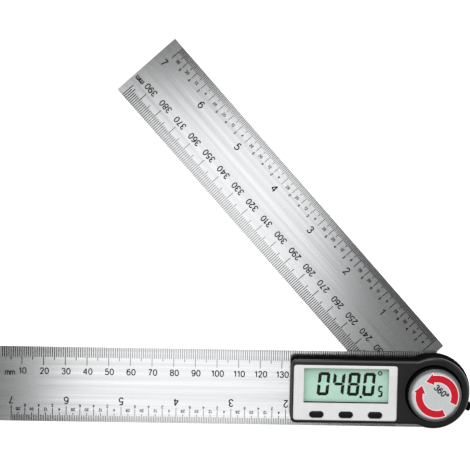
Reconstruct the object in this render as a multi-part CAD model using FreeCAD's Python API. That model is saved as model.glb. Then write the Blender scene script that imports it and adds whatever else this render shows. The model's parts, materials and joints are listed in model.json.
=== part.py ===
import FreeCAD
import Part
import math
import os

# A digital angle rule: two steel arms on one pivot, a display housing and a clamp knob.
# Frame: origin on the pivot axis at the underside of the lower arm. +X runs from the level
# arm's far end to the pivot and +Z out of the display. Every length is in millimetres.

# Clearances
face_gap = 0.05           # between flat faces that slide on each other
running_gap = 0.05        # radial, shaft in bush
seat_gap = 0.1            # around a piece that drops into a seat
free_gap = 0.3            # between pieces that must not touch
overrun = 1.0             # how far a cutting shape runs past what it cuts

# Blades
arm_length = 200.0        # far end to pivot, on both blades
blade_thickness = 1.0
blade_corner = 0.5
rest_angle = 47.8         # degrees between the blades at rest, as photographed
shoulder_to_pivot = 11.9  # the arm blade is square up to here, then a round eye
eye_inset = 1.5           # the eye lies this far inside the base blade's round end
eye_blend = 1.5
friction_washer_thickness = 0.25
friction_washer_inset = 1.0

# Display plate: a window above a row of buttons
window_length = 39.0
window_width = 16.1
window_corner = 0.4
border_left = 4.6
border_right = 4.0
border_top = 1.3
window_to_buttons = 5.45
buttons_to_edge = 2.75
plate_thickness = 1.2
plate_proud = 0.2
plate_corner = 1.2
plate_bevel = 0.35
plate_seat = 0.9          # cover wall left under the plate
lens_border = 0.9
lens_thickness = 0.45
lens_ledge = 0.4

# Housing cover
margin_left = 1.15        # from the plate to the housing's straight end
margin_top = 2.45
margin_bottom = 1.55
plate_to_recess = 3.85
shoulder_step = 2.7       # the round end is this much wider, each side
round_draft = 1.0         # the round end's wall leans in by this on its way up
housing_corner = 2.2
shoulder_blend = 4.0      # hollow curve from the straight side to the round end
edge_round = 1.25
left_edge_round = 0.7
edge_steps = 6
cover_wall = 1.3
cavity_corner = 1.2
knob_recess_rim = 4.5     # from the recess to the round end's outside
knob_recess_depth = 2.0
recess_floor = 1.3
recess_edge = 0.3

# Lug on the round end
lug_angle = -22.0
lug_reach = 1.65          # past the round end
lug_width = 3.6
lug_height = 4.2
lug_lift = 0.4
lug_corner = 0.7

# Display glass
glass_border_x = 0.75
glass_border_y = 1.3
glass_thickness = 0.65    # each of its two layers
glass_step = 1.5          # the lower layer is narrower by this at each long edge
holder_wall = 0.4
holder_floor = 0.4
holder_ledge = 1.2
strip_thickness = 1.1
strip_end = 2.0

# Buttons and their switches
button_count = 3
button_pitch = 13.48
button_shift = 0.08       # the row's centre lies this far right of the window's
button_length = 6.0
button_width = 2.5
button_proud = 0.7
button_round = 0.45
button_travel = 0.4
button_flange = 0.85
button_flange_height = 0.5
button_gap = 0.35
plunger_radius = 0.8
switch_length = 4.0
switch_width = 3.0
switch_height = 0.75
switch_well = 0.6

# Boards
board_thickness = 0.8
screw_notch_gap = 0.35
chip_size = 7.0
chip_height = 1.0
chip_to_header = 8.6
crystal_radius = 0.9
crystal_length = 5.5
crystal_gap = 1.6

# Cell, its contacts and its door
cell_radius = 10.0
cell_height = 3.2
cell_shift = 4.65         # the cell's centre lies this far left of the window's
cell_step = 0.2
cell_rim = 1.0
cell_gap = 0.3
cell_wall = 1.3
cell_wall_height = 2.5    # above the tray's floor
cell_to_board = 0.7
door_rim = 0.4            # the door is this much larger than the cell
door_gap = 0.2
door_lug_grip = 1.1       # the door's two lugs reach this far over the blade
door_lug_half_angle = 12.0
door_lug_margin = 2.0     # degrees of play at each side of a lug
door_lug_height = 0.5
door_turn = 90.0
door_slot_length = 13.0
door_slot_width = 1.8
door_slot_depth = 0.7
contact_thickness = 0.15
contact_width = 4.0
contact_pad = 3.0
contact_reach = 6.0

# Tray
tray_floor = 0.7
tray_gap = 0.15
rim_width = 2.5

# Pivot
stud_radius = 3.0         # threaded end, M6
shank_step = 2.0          # the shank is this much larger than the threaded end
shank_flat = 4.0          # axis to each of the shank's two flats
shank_rise = 1.1          # above the rotor
stud_head_taper = 1.0
stud_top_gap = 0.5
stud_chamfer = 0.5
hub_wall = 3.0
hub_rise = 1.0            # above the base blade
bush_wall = 1.2
bush_flange = 1.2
bush_flange_height = 0.6
clip_thickness = 0.4
clip_groove = 0.7
clip_width = 1.6
clip_opening = 3.0

# Angle encoder
rotor_side_gap = 0.5
rotor_thickness = 1.0
encoder_gap = 0.3
stator_thickness = 1.0
stator_hole_gap = 1.45
stator_end = 1.8          # tongue left past the header
stator_tongue_side = 1.0
header_gap = 1.5          # from the stator's round part to the header
header_pins = 5
header_pitch = 2.0
header_width = 1.6
pin_radius = 0.25
pin_stand = 0.3

# Knob
knob_side_gap = 0.7
knob_stand = 5.4          # above the housing
knob_floor_gap = 0.6
knob_flutes = 44
knob_flute_radius = 0.5
knob_flute_depth = 0.28
knob_inner_gap = 0.6
cap_thickness = 0.9
cap_inset = 0.2           # the silver disc stands this far inside the ribs
cap_edge_width = 1.3      # of the slope round the disc
cap_edge_drop = 0.5
insert_wall = 1.55
insert_foot = 1.6
insert_foot_height = 0.9
wear_washer_radius = 8.8
wear_washer_thickness = 0.4
spring_radius = 8.0
spring_thickness = 0.4
spring_cone = 0.25
knob_washer_radius = 8.6
knob_washer_thickness = 0.5

# Screws
screw_radius = 1.0
screw_head_step = 0.9
screw_head_height = 0.9
screw_length = 5.6
screw_boss_wall = 0.8
screw_left_inset = 2.7    # from the housing's straight end
screw_side_inset = 2.9    # from the housing's long sides, left pair
screw_right_inset = 3.3   # from the housing's long sides, right pair
screw_to_header = 1.0
small_screw_radius = 0.7
small_head_step = 0.6
small_head_height = 0.8
small_boss_wall = 0.8
small_screw_end = 0.4     # material left past a small screw's tip
cross_width = 0.4
cross_depth = 0.35
board_screw_gap = 2.2     # from the header's end
board_edge = 1.6          # board left outside a screw
stator_screw_count = 3
stator_screw_length = 1.8

# Levels, from the resting plane up
base_z = blade_thickness + friction_washer_thickness + face_gap
base_top = base_z + blade_thickness
tray_top = base_top + tray_floor
hub_top = base_top + hub_rise
rotor_top = hub_top + rotor_thickness
stator_z = rotor_top + encoder_gap
stator_top = stator_z + stator_thickness
door_top = base_top + face_gap + door_lug_height
cell_z = door_top + face_gap
cell_top = cell_z + cell_height
board_z = cell_top + cell_to_board
board_top = board_z + board_thickness
glass_z = board_top + holder_floor
glass_top = glass_z + 2 * glass_thickness
ceiling_z = glass_top + seat_gap
lens_z = ceiling_z + lens_ledge
plate_z = ceiling_z + plate_seat
plate_top = plate_z + plate_thickness
plateau_z = plate_top - plate_proud
recess_z = plateau_z - knob_recess_depth
recess_ceiling_z = recess_z - recess_floor
button_top = plate_top + button_proud
flange_top = ceiling_z - face_gap
flange_z = flange_top - button_flange_height
wear_top = recess_z + wear_washer_thickness
spring_top = wear_top + spring_thickness + spring_cone
knob_washer_z = spring_top + face_gap
knob_washer_top = knob_washer_z + knob_washer_thickness
insert_z = knob_washer_top + face_gap
knob_top = plateau_z + knob_stand
cap_z = knob_top - cap_thickness
stud_top = cap_z - stud_top_gap

# Sizes seen from above, from the window and the buttons outwards
plate_length = border_left + window_length + border_right
plate_width = border_top + window_width + window_to_buttons + buttons_to_edge
housing_half_width = (margin_top + plate_width + margin_bottom) / 2
round_radius = housing_half_width + shoulder_step
knob_recess_radius = round_radius - knob_recess_rim
knob_radius = knob_recess_radius - knob_side_gap
housing_left = knob_recess_radius + plate_to_recess + plate_length + margin_left
plate_x = -knob_recess_radius - plate_to_recess - plate_length / 2
plate_y = (margin_bottom - margin_top) / 2
window_x = plate_x - plate_length / 2 + border_left + window_length / 2
window_y = plate_y + plate_width / 2 - border_top - window_width / 2
button_x = window_x + button_shift
button_y = plate_y - plate_width / 2 + buttons_to_edge
glass_length = window_length + 2 * glass_border_x
glass_width = window_width + 2 * glass_border_y
eye_radius = round_radius - eye_inset
friction_washer_radius = eye_radius - friction_washer_inset
shank_radius = stud_radius + shank_step
hub_radius = shank_radius + hub_wall
bush_radius = hub_radius + running_gap
bush_outer = bush_radius + bush_wall
clip_inner = shank_radius - clip_groove + face_gap
stator_hole = clip_inner + clip_width + stator_hole_gap
insert_radius = stud_radius + running_gap + insert_wall
insert_foot_radius = insert_radius + insert_foot
knob_inner_radius = wear_washer_radius + knob_inner_gap
cavity_radius = round_radius - cover_wall
cavity_half_width = housing_half_width - cover_wall
cavity_left = housing_left - cover_wall
rim_radius = cavity_radius - round_draft / 2 - free_gap
rim_inner = rim_radius - rim_width
rotor_radius = rim_inner - rotor_side_gap
stator_screw_circle = (rim_radius + rim_inner) / 2
door_radius = cell_radius + door_rim
door_hole_radius = door_radius + door_gap
door_reach = door_radius + door_lug_grip
pocket_radius = door_reach + free_gap
pocket_wall_radius = pocket_radius + cell_wall / 2
cell_bore = cell_radius + cell_gap
header_x = -rim_radius - header_gap
header_half = header_pins * header_pitch / 2
chip_x = header_x - chip_to_header
cell_x = window_x - cell_shift
screw_head_radius = screw_radius + screw_head_step
screw_boss_radius = screw_radius + screw_boss_wall
screw_right_x = header_x + screw_to_header
small_head_radius = small_screw_radius + small_head_step
small_boss_radius = small_screw_radius + small_boss_wall
board_screw_y = header_half + board_screw_gap
Z = FreeCAD.Vector(0, 0, 1)


def at(x, y, z=0):
    return FreeCAD.Vector(x, y, z)


def disc(radius, low, high, x=0, y=0):
    return Part.makeCylinder(radius, high - low, at(x, y, low))


def ring(outer, inner, low, high, x=0, y=0):
    return disc(outer, low, high, x, y).cut(disc(inner, low - overrun, high + overrun, x, y))


def block(x_low, x_high, y_low, y_high, low, high):
    return Part.makeBox(x_high - x_low, y_high - y_low, high - low, at(x_low, y_low, low))


def plate(x, y, length, width, low, high, corner):
    """A block about (x, y) with rounded upright corners."""
    body = block(x - length / 2, x + length / 2, y - width / 2, y + width / 2, low, high)
    upright = [edge for edge in body.Edges if abs(edge.tangentAt(edge.FirstParameter).z) > 0.5]
    return body.makeFillet(corner, upright)


def oval(x, y, length, width, low, high):
    """A slot shape: a block with a half round at each end."""
    half = width / 2
    straight = length / 2 - half
    body = block(x - straight, x + straight, y - half, y + half, low, high)
    return body.multiFuse([disc(half, low, high, x + side * straight, y) for side in (-1, 1)])


def two_flats(radius, flat, low, high):
    """A round bar with two flats, square to Y."""
    return disc(radius, low, high).common(block(-radius, radius, -flat, flat, low, high))


def sector(radius, start, sweep, low, high, x=0, y=0):
    """A pie slice from angle start, anticlockwise through sweep, in degrees."""
    slice_ = Part.makeCylinder(radius, high - low, at(0, 0, low), Z, sweep)
    slice_.rotate(at(0, 0), Z, start)
    slice_.translate(at(x, y))
    return slice_


def edges_at(shape, level):
    """The edges that lie flat at one level."""
    return [edge for edge in shape.Edges
            if all(abs(vertex.Point.z - level) < face_gap / 2 for vertex in edge.Vertexes)]


def polar(radius, degrees):
    angle = math.radians(degrees)
    return radius * math.cos(angle), radius * math.sin(angle)


def arc(start, middle, end):
    return Part.Arc(start, middle, end).toShape()


def housing_outline(half_width, left, round_end, corner, blend, level):
    """The housing seen from above: straight sides, hollow shoulders and a round right end."""
    blend_x = -math.sqrt((round_end + blend) ** 2 - (half_width + blend) ** 2)
    blend_y = half_width + blend
    share = round_end / (round_end + blend)
    foot = at(blend_x, half_width, level)
    shoulder = at(blend_x * share, blend_y * share, level)
    down = math.atan2(shoulder.y - blend_y, shoulder.x - blend_x)
    middle_angle = (down - math.pi / 2) / 2
    hollow = at(blend_x + blend * math.cos(middle_angle), blend_y + blend * math.sin(middle_angle), level)
    bevel = corner * (1 - math.sqrt(0.5))

    def below(point):
        return at(point.x, -point.y, level)

    side_end = at(-left + corner, half_width, level)
    end_top = at(-left, half_width - corner, level)
    corner_middle = at(-left + bevel, half_width - bevel, level)
    edges = [
        Part.LineSegment(foot, side_end).toShape(),
        arc(side_end, corner_middle, end_top),
        Part.LineSegment(end_top, below(end_top)).toShape(),
        arc(below(end_top), below(corner_middle), below(side_end)),
        Part.LineSegment(below(side_end), below(foot)).toShape(),
        arc(below(foot), below(hollow), below(shoulder)),
        arc(below(shoulder), at(round_end, 0, level), shoulder),
        arc(shoulder, hollow, foot),
    ]
    return Part.Wire(edges)


def prism(wire, height):
    return Part.Face(wire).extrude(at(0, 0, height))


def cover_body():
    """The housing's outer form, with its upper edge rounded in small steps."""
    wires = [housing_outline(housing_half_width, housing_left, round_radius, housing_corner,
                             shoulder_blend, base_top)]
    for step in range(edge_steps + 1):
        turn = math.pi / 2 * step / edge_steps
        inset = edge_round * (1 - math.cos(turn))
        left_inset = left_edge_round * (1 - math.cos(turn))
        level = plateau_z - edge_round * (1 - math.sin(turn))
        wires.append(housing_outline(housing_half_width - inset, housing_left - left_inset,
                                     round_radius - round_draft - inset, housing_corner - left_inset,
                                     shoulder_blend + inset, level))
    layers = [Part.makeLoft([under, over], True, True) for under, over in zip(wires, wires[1:])]
    return layers[0].multiFuse(layers[1:]).removeSplitter()


def cavity():
    """The space inside the cover: high under the display, lower under the knob."""
    def outline(round_end, level):
        return housing_outline(cavity_half_width, cavity_left, round_end, cavity_corner,
                               shoulder_blend + cover_wall, level)

    foot = outline(cavity_radius, base_top)
    low_part = Part.makeLoft([foot, outline(cavity_radius - round_draft, recess_ceiling_z)], True, True)
    display_end = plate_x + plate_length / 2 + cover_wall
    high_part = prism(foot, ceiling_z - base_top).common(
        block(-housing_left, display_end, -housing_half_width, housing_half_width, base_top, ceiling_z))
    return low_part.fuse(high_part)


def lug():
    """The small lug on the round end."""
    inner = cavity_radius - round_draft
    outer = round_radius + lug_reach
    body = block(inner, outer, -lug_width / 2, lug_width / 2, base_top + lug_lift,
                 base_top + lug_lift + lug_height)
    body = body.makeFillet(lug_corner, [edge for edge in body.Edges
                                        if all(vertex.Point.x > outer - lug_corner for vertex in edge.Vertexes)])
    body.rotate(at(0, 0), Z, lug_angle)
    return body


def housing_screw_places():
    left_x = -housing_left + screw_left_inset
    left_y = housing_half_width - screw_side_inset
    right_y = housing_half_width - screw_right_inset
    return [(left_x, left_y), (left_x, -left_y), (screw_right_x, right_y), (screw_right_x, -right_y)]


def button_places():
    middle = (button_count - 1) / 2
    return [(button_x + (index - middle) * button_pitch, button_y) for index in range(button_count)]


def board_screw_places():
    """Two between the buttons and two right of the display glass."""
    between = [(x + button_pitch / 2, y) for x, y in button_places()[:-1]]
    return between + [(header_x, side * board_screw_y) for side in (-1, 1)]


def stator_screw_places():
    step = 360 / stator_screw_count
    return [polar(stator_screw_circle, index * step) for index in range(stator_screw_count)]


def holes(places, radius, low, high):
    return [disc(radius, low, high, x, y) for x, y in places]


def housing_cover():
    cover = cover_body().fuse(lug()).cut(cavity())
    bosses = holes(housing_screw_places(), screw_boss_radius, tray_top, recess_ceiling_z + overrun)
    bosses += holes(board_screw_places(), small_boss_radius, board_top, ceiling_z + plate_seat / 2)
    cover = cover.multiFuse(bosses)
    cuts = [
        plate(plate_x, plate_y, plate_length + 2 * seat_gap, plate_width + 2 * seat_gap,
              plate_z, plateau_z + overrun, plate_corner + seat_gap),
        plate(window_x, window_y, window_length + 2 * lens_border, window_width + 2 * lens_border,
              lens_z, plate_z + overrun, window_corner),
        plate(window_x, window_y, window_length, window_width, ceiling_z - overrun,
              plate_z + overrun, window_corner),
        disc(knob_recess_radius, recess_z, plateau_z + overrun),
        disc(stud_radius + free_gap, recess_ceiling_z - overrun, recess_z + overrun),
        Part.makeCone(knob_recess_radius, knob_recess_radius + recess_edge, recess_edge,
                      at(0, 0, plateau_z - recess_edge)),
    ]
    cuts += [oval(x, y, button_length + 2 * button_gap, button_width + 2 * button_gap,
                  ceiling_z - overrun, plate_z + overrun) for x, y in button_places()]
    screw_tip = base_z + screw_length + free_gap
    cuts += holes(housing_screw_places(), screw_radius + seat_gap / 2, tray_top - overrun, screw_tip)
    cuts += holes(board_screw_places(), small_screw_radius + seat_gap / 2, board_top - overrun,
                  ceiling_z + small_screw_end)
    for cut in cuts:
        cover = cover.cut(cut)
    return cover


def display_plate():
    body = plate(plate_x, plate_y, plate_length, plate_width, plate_z, plate_top, plate_corner)
    body = body.makeChamfer(plate_bevel, edges_at(body, plate_top))
    body = body.cut(plate(window_x, window_y, window_length, window_width, plate_z - overrun,
                          plate_top + overrun, window_corner))
    for x, y in button_places():
        body = body.cut(oval(x, y, button_length + 2 * button_gap, button_width + 2 * button_gap,
                             plate_z - overrun, plate_top + overrun))
    return body


def display_lens():
    border = lens_border - seat_gap
    return plate(window_x, window_y, window_length + 2 * border, window_width + 2 * border,
                 lens_z, lens_z + lens_thickness, window_corner)


def lcd_glass():
    upper = block(window_x - glass_length / 2, window_x + glass_length / 2,
                  window_y - glass_width / 2, window_y + glass_width / 2, glass_top - glass_thickness, glass_top)
    narrow = glass_width / 2 - glass_step
    lower = block(window_x - glass_length / 2, window_x + glass_length / 2,
                  window_y - narrow, window_y + narrow, glass_z, glass_top - glass_thickness)
    return upper.fuse(lower).removeSplitter()


def lcd_holder():
    """A frame round the glass, with a ledge under each short edge."""
    inner_x = glass_length / 2 + seat_gap
    inner_y = glass_width / 2 + seat_gap
    outer_x = inner_x + holder_wall
    outer_y = inner_y + holder_wall
    frame = block(window_x - outer_x, window_x + outer_x, window_y - outer_y, window_y + outer_y,
                  board_top, glass_top)
    ledge_x = inner_x - holder_ledge
    frame = frame.cut(block(window_x - inner_x, window_x + inner_x, window_y - inner_y, window_y + inner_y,
                            glass_z, glass_top + overrun))
    return frame.cut(block(window_x - ledge_x, window_x + ledge_x, window_y - inner_y, window_y + inner_y,
                           board_top - overrun, glass_top + overrun))


def zebra_strips():
    """Two rubber strips that join the board to the glass's overhanging edges."""
    half = glass_length / 2 - strip_end
    inner = glass_width / 2 - glass_step + seat_gap
    strips = []
    for side in (-1, 1):
        edges = sorted((window_y + side * inner, window_y + side * (inner + strip_thickness)))
        strips.append(block(window_x - half, window_x + half, edges[0], edges[1],
                            board_top, glass_top - glass_thickness))
    return Part.makeCompound(strips)


def header_places():
    middle = (header_pins - 1) / 2
    return [(header_x, (index - middle) * header_pitch) for index in range(header_pins)]


def main_board():
    left = -housing_left + screw_left_inset + screw_boss_radius + free_gap
    half = cavity_half_width - free_gap
    neck = screw_right_x - screw_boss_radius - screw_notch_gap
    board = block(left, neck, -half, half, board_z, board_top)
    tongue = board_screw_y + board_edge
    board = board.fuse(block(neck - overrun, header_x + board_edge, -tongue, tongue,
                             board_z, board_top)).removeSplitter()
    for x, y in board_screw_places():
        board = board.cut(disc(small_screw_radius + seat_gap, board_z - overrun, board_top + overrun, x, y))
    for x, y in header_places():
        board = board.cut(disc(pin_radius + seat_gap, board_z - overrun, board_top + overrun, x, y))
    return board


def control_chip():
    half = chip_size / 2
    return block(chip_x - half, chip_x + half, -half, half, board_z - chip_height, board_z)


def crystal_can():
    crystal_y = chip_size / 2 + crystal_gap + crystal_radius
    return Part.makeCylinder(crystal_radius, crystal_length,
                             at(chip_x - crystal_length / 2, crystal_y, board_z - crystal_radius), at(1, 0))


def switch_body(x, y):
    """A low key switch with a well for its moving tip."""
    body = block(x - switch_length / 2, x + switch_length / 2, y - switch_width / 2, y + switch_width / 2,
                 board_top, board_top + switch_height)
    return body.cut(disc(plunger_radius + seat_gap, board_top + switch_height - switch_well,
                         board_top + switch_height + overrun, x, y))


def plunger(x, y):
    low = board_top + switch_height - switch_well + button_travel + face_gap
    return disc(plunger_radius, low, flange_z, x, y)


def button(x, y):
    """A moulded oval key with a flange that keeps it in the cover."""
    key = oval(x, y, button_length, button_width, flange_top - face_gap, button_top)
    key = key.removeSplitter()
    key = key.makeFillet(button_round, edges_at(key, button_top))
    flange = oval(x, y, button_length + 2 * button_flange, button_width + 2 * button_flange,
                  flange_z, flange_top)
    return key.fuse(flange).removeSplitter()


def housing_tray():
    """Moulded floor with the cell's wall, the door's lug pocket and the stator's rim."""
    floor = prism(housing_outline(cavity_half_width - tray_gap, cavity_left - tray_gap,
                                  cavity_radius - tray_gap, cavity_corner, shoulder_blend + cover_wall,
                                  base_top), tray_floor)
    wall_top = tray_top + cell_wall_height
    turret = disc(pocket_wall_radius, base_top, tray_top + cell_wall / 2, cell_x)
    turret = turret.fuse(disc(cell_bore + cell_wall, base_top, wall_top, cell_x))
    rim = ring(rim_radius, rim_inner, base_top, stator_z)
    tray = floor.multiFuse([turret, rim])
    cuts = [disc(cell_bore, base_top - overrun, wall_top + overrun, cell_x),
            disc(door_hole_radius, base_top - overrun, tray_top, cell_x),
            disc(bush_outer + bush_flange + free_gap, base_top - overrun, tray_top + overrun)]
    lug_turn = door_lug_half_angle + door_lug_margin
    for side in (0, 180):
        cuts.append(sector(pocket_radius, side - lug_turn, door_turn + 2 * lug_turn,
                           base_top - overrun, tray_top, cell_x))
    cuts += holes(housing_screw_places(), screw_radius + seat_gap, base_top - overrun, tray_top + overrun)
    cuts += holes(stator_screw_places(), small_screw_radius + seat_gap / 2,
                  stator_z - stator_screw_length, stator_z + overrun)
    slot_half = contact_width / 2 + free_gap
    cuts.append(block(cell_x - pocket_wall_radius, cell_x - cell_radius, -slot_half, slot_half,
                      tray_top + cell_wall / 2, wall_top + overrun))
    for cut in cuts:
        tray = tray.cut(cut)
    return tray.removeSplitter()


def coin_cell():
    can = disc(cell_radius, cell_z, cell_top - cell_step, cell_x)
    return can.fuse(disc(cell_radius - cell_rim, cell_z, cell_top, cell_x)).removeSplitter()


def strip_from(points, width, y=0):
    """A flat strip: a closed outline in the XZ plane, drawn out along Y."""
    corners = [at(x, y - width / 2, z) for x, z in points]
    return Part.Face(Part.makePolygon(corners + corners[:1])).extrude(at(0, width))


def negative_contact():
    """A leaf under the board that dips to the cell's upper face."""
    pad_end = cell_x + contact_reach
    pad_start = pad_end - contact_pad
    tip = cell_x - contact_reach / 2
    touch = cell_top + face_gap
    return strip_from([(pad_end, board_z), (pad_start, board_z), (tip + contact_pad, touch + contact_thickness),
                       (tip, touch + contact_thickness), (tip, touch), (tip + contact_pad, touch),
                       (pad_start, board_z - contact_thickness), (pad_end, board_z - contact_thickness)],
                      contact_width)


def positive_contact():
    """A strip beside the cell, bent over under the board."""
    face = cell_x - cell_radius - face_gap
    back = face - contact_thickness
    low = tray_top + cell_wall
    foot = back - contact_pad
    return strip_from([(face, low), (face, board_z), (foot, board_z), (foot, board_z - contact_thickness),
                       (back, board_z - contact_thickness), (back, low)], contact_width)


def battery_cover():
    """A round door with two lugs over the blade and a coin slot below."""
    door = disc(door_radius, base_z, door_top, cell_x)
    lug_z = base_top + face_gap
    for side in (90, 270):
        door = door.fuse(sector(door_reach, side - door_lug_half_angle, 2 * door_lug_half_angle,
                                lug_z, door_top, cell_x))
    door = door.removeSplitter()
    return door.cut(oval(cell_x, 0, door_slot_length, door_slot_width, base_z - overrun,
                         base_z + door_slot_depth))


def encoder_stator():
    board = disc(rim_radius, stator_z, stator_top)
    half = header_half + stator_tongue_side
    tongue = block(header_x - stator_end, 0, -half, half, stator_z, stator_top)
    board = board.fuse(tongue).removeSplitter().cut(disc(stator_hole, stator_z - overrun, stator_top + overrun))
    for x, y in stator_screw_places():
        board = board.cut(disc(small_screw_radius + seat_gap, stator_z - overrun, stator_top + overrun, x, y))
    for x, y in header_places():
        board = board.cut(disc(pin_radius + seat_gap, stator_z - overrun, stator_top + overrun, x, y))
    return board


def link_header():
    """Upright pins in a plastic bar, between the two boards."""
    bar = block(header_x - header_width / 2, header_x + header_width / 2, -header_half, header_half,
                stator_top, board_z)
    pins = holes(header_places(), pin_radius, stator_z - pin_stand, board_top + pin_stand)
    return bar.multiFuse(pins)


def base_blade():
    blade = block(-arm_length, 0, -round_radius, round_radius, base_z, base_top)
    far = [edge for edge in blade.Edges
           if all(abs(vertex.Point.x + arm_length) < blade_corner for vertex in edge.Vertexes)
           and abs(edge.tangentAt(edge.FirstParameter).z) > 0.5]
    blade = blade.makeFillet(blade_corner, far).fuse(disc(round_radius, base_z, base_top)).removeSplitter()
    cuts = [disc(bush_outer, base_z - overrun, base_top + overrun),
            disc(door_hole_radius, base_z - overrun, base_top + overrun, cell_x)]
    notch_half = door_lug_half_angle + door_lug_margin
    for side in (0, 180):
        cuts.append(sector(pocket_radius, side - notch_half, 2 * notch_half,
                           base_z - overrun, base_top + overrun, cell_x))
    for x, y in housing_screw_places():
        cuts.append(disc(screw_radius + seat_gap, base_z - overrun, base_top + overrun, x, y))
        cuts.append(Part.makeCone(screw_head_radius + seat_gap, screw_radius + seat_gap,
                                  screw_head_height, at(x, y, base_z)))
    for cut in cuts:
        blade = blade.cut(cut)
    return blade


def pivot_bush():
    body = ring(bush_outer, bush_radius, base_z, base_top)
    flange = ring(bush_outer + bush_flange, bush_radius, base_top, base_top + bush_flange_height)
    return body.fuse(flange).removeSplitter()


def cross_recess(x, y, radius, low, high):
    across = block(x - radius, x + radius, y - cross_width / 2, y + cross_width / 2, low, high)
    return across.fuse(block(x - cross_width / 2, x + cross_width / 2, y - radius, y + radius, low, high))


def housing_screws():
    """Countersunk screws, up through the blade and the tray into the cover's bosses."""
    screws = []
    for x, y in housing_screw_places():
        head = Part.makeCone(screw_head_radius, screw_radius, screw_head_height, at(x, y, base_z))
        screw = head.fuse(disc(screw_radius, base_z + screw_head_height - face_gap, base_z + screw_length, x, y))
        screws.append(screw.cut(cross_recess(x, y, screw_radius, base_z - overrun, base_z + cross_depth)))
    return Part.makeCompound(screws)


def small_screw(x, y, head_low, head_high, tip):
    """A pan head between two levels, and a shank from it to the tip."""
    head = disc(small_head_radius, head_low, head_high, x, y)
    shank = disc(small_screw_radius, min(head_low, tip), max(head_high, tip), x, y)
    if tip > head_high:
        recess = cross_recess(x, y, small_screw_radius, head_low - overrun, head_low + cross_depth)
    else:
        recess = cross_recess(x, y, small_screw_radius, head_high - cross_depth, head_high + overrun)
    return head.fuse(shank).cut(recess)


def board_screws():
    return Part.makeCompound([small_screw(x, y, board_z - small_head_height, board_z, ceiling_z)
                              for x, y in board_screw_places()])


def stator_screws():
    tip = stator_z - stator_screw_length + free_gap
    return Part.makeCompound([small_screw(x, y, stator_top, stator_top + small_head_height, tip)
                              for x, y in stator_screw_places()])


def wear_washer():
    return ring(wear_washer_radius, stud_radius + free_gap, recess_z, wear_top)


def disc_spring():
    """A coned ring, high at its bore."""
    inner = stud_radius + free_gap
    profile = [at(inner, 0, wear_top + spring_cone), at(spring_radius, 0, wear_top),
               at(spring_radius, 0, wear_top + spring_thickness), at(inner, 0, spring_top)]
    return Part.Face(Part.makePolygon(profile + profile[:1])).revolve(at(0, 0), Z, 360)


def arm_outline():
    """The arm blade along +X: a round eye, square shoulders and a square far end."""
    half = round_radius
    reach = math.sqrt((eye_radius + eye_blend) ** 2 - (shoulder_to_pivot - eye_blend) ** 2)
    blend_x = shoulder_to_pivot - eye_blend
    share = eye_radius / (eye_radius + eye_blend)
    eye_end = at(blend_x * share, reach * share)
    start = math.atan2(eye_end.y - reach, eye_end.x - blend_x)
    hollow = at(blend_x + eye_blend * math.cos(start / 2), reach + eye_blend * math.sin(start / 2))
    foot = at(shoulder_to_pivot, reach)

    def below(point):
        return at(point.x, -point.y)

    shoulder = at(shoulder_to_pivot, half)
    far = at(arm_length, half)
    return Part.Wire([
        arc(below(eye_end), at(-eye_radius, 0), eye_end),
        arc(eye_end, hollow, foot),
        Part.LineSegment(foot, shoulder).toShape(),
        Part.LineSegment(shoulder, far).toShape(),
        Part.LineSegment(far, below(far)).toShape(),
        Part.LineSegment(below(far), below(shoulder)).toShape(),
        Part.LineSegment(below(shoulder), below(foot)).toShape(),
        arc(below(foot), below(hollow), below(eye_end)),
    ])


def arm_blade():
    blade = prism(arm_outline(), blade_thickness)
    corners = [edge for edge in blade.Edges
               if len(edge.Vertexes) == 2
               and all(abs(abs(vertex.Point.y) - round_radius) < face_gap for vertex in edge.Vertexes)
               and abs(edge.tangentAt(edge.FirstParameter).z) > 0.5]
    blade = blade.makeFillet(blade_corner, corners)
    blade = blade.cut(stud_head())
    blade.rotate(at(0, 0), Z, 180 - rest_angle)
    return blade


def friction_washer():
    return ring(friction_washer_radius, hub_radius + seat_gap, blade_thickness,
                blade_thickness + friction_washer_thickness)


def stud_head():
    """The coned head, flush in the arm blade."""
    return Part.makeCone(shank_radius + stud_head_taper, shank_radius, blade_thickness)


def pivot_stud():
    """A flush coned head, a shank with two flats and a threaded end."""
    shank = two_flats(shank_radius, shank_flat, blade_thickness / 2, rotor_top + shank_rise)
    end = disc(stud_radius, blade_thickness / 2, stud_top)
    end = end.makeChamfer(stud_chamfer, edges_at(end, stud_top))
    stud = stud_head().multiFuse([shank, end])
    groove_z = rotor_top + face_gap
    groove = ring(shank_radius + overrun, clip_inner - face_gap, groove_z,
                  groove_z + clip_thickness + 2 * face_gap)
    return stud.cut(groove)


def pivot_hub():
    """The journal that turns in the bush, keyed to the stud's flats."""
    body = disc(hub_radius, blade_thickness, hub_top)
    return body.cut(two_flats(shank_radius + running_gap, shank_flat + running_gap,
                              blade_thickness - overrun, hub_top + overrun))


def encoder_rotor():
    body = disc(rotor_radius, hub_top, rotor_top)
    return body.cut(two_flats(shank_radius + running_gap, shank_flat + running_gap,
                              hub_top - overrun, rotor_top + overrun))


def rotor_clip():
    low = rotor_top + 2 * face_gap
    outer = clip_inner + clip_width
    gap = clip_opening / 2
    body = ring(outer, clip_inner, low, low + clip_thickness)
    return body.cut(block(0, outer + overrun, -gap, gap, low - overrun, low + clip_thickness + overrun))


def knob_washer():
    return ring(knob_washer_radius, stud_radius + free_gap, knob_washer_z, knob_washer_top)


def knob_insert():
    """Brass nut with a wide foot on the knob's washer."""
    foot = disc(insert_foot_radius, insert_z, insert_z + insert_foot_height)
    body = disc(insert_radius, insert_z, stud_top)
    bore = disc(stud_radius + running_gap, insert_z - overrun, stud_top + overrun)
    return foot.fuse(body).removeSplitter().cut(bore)


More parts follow.
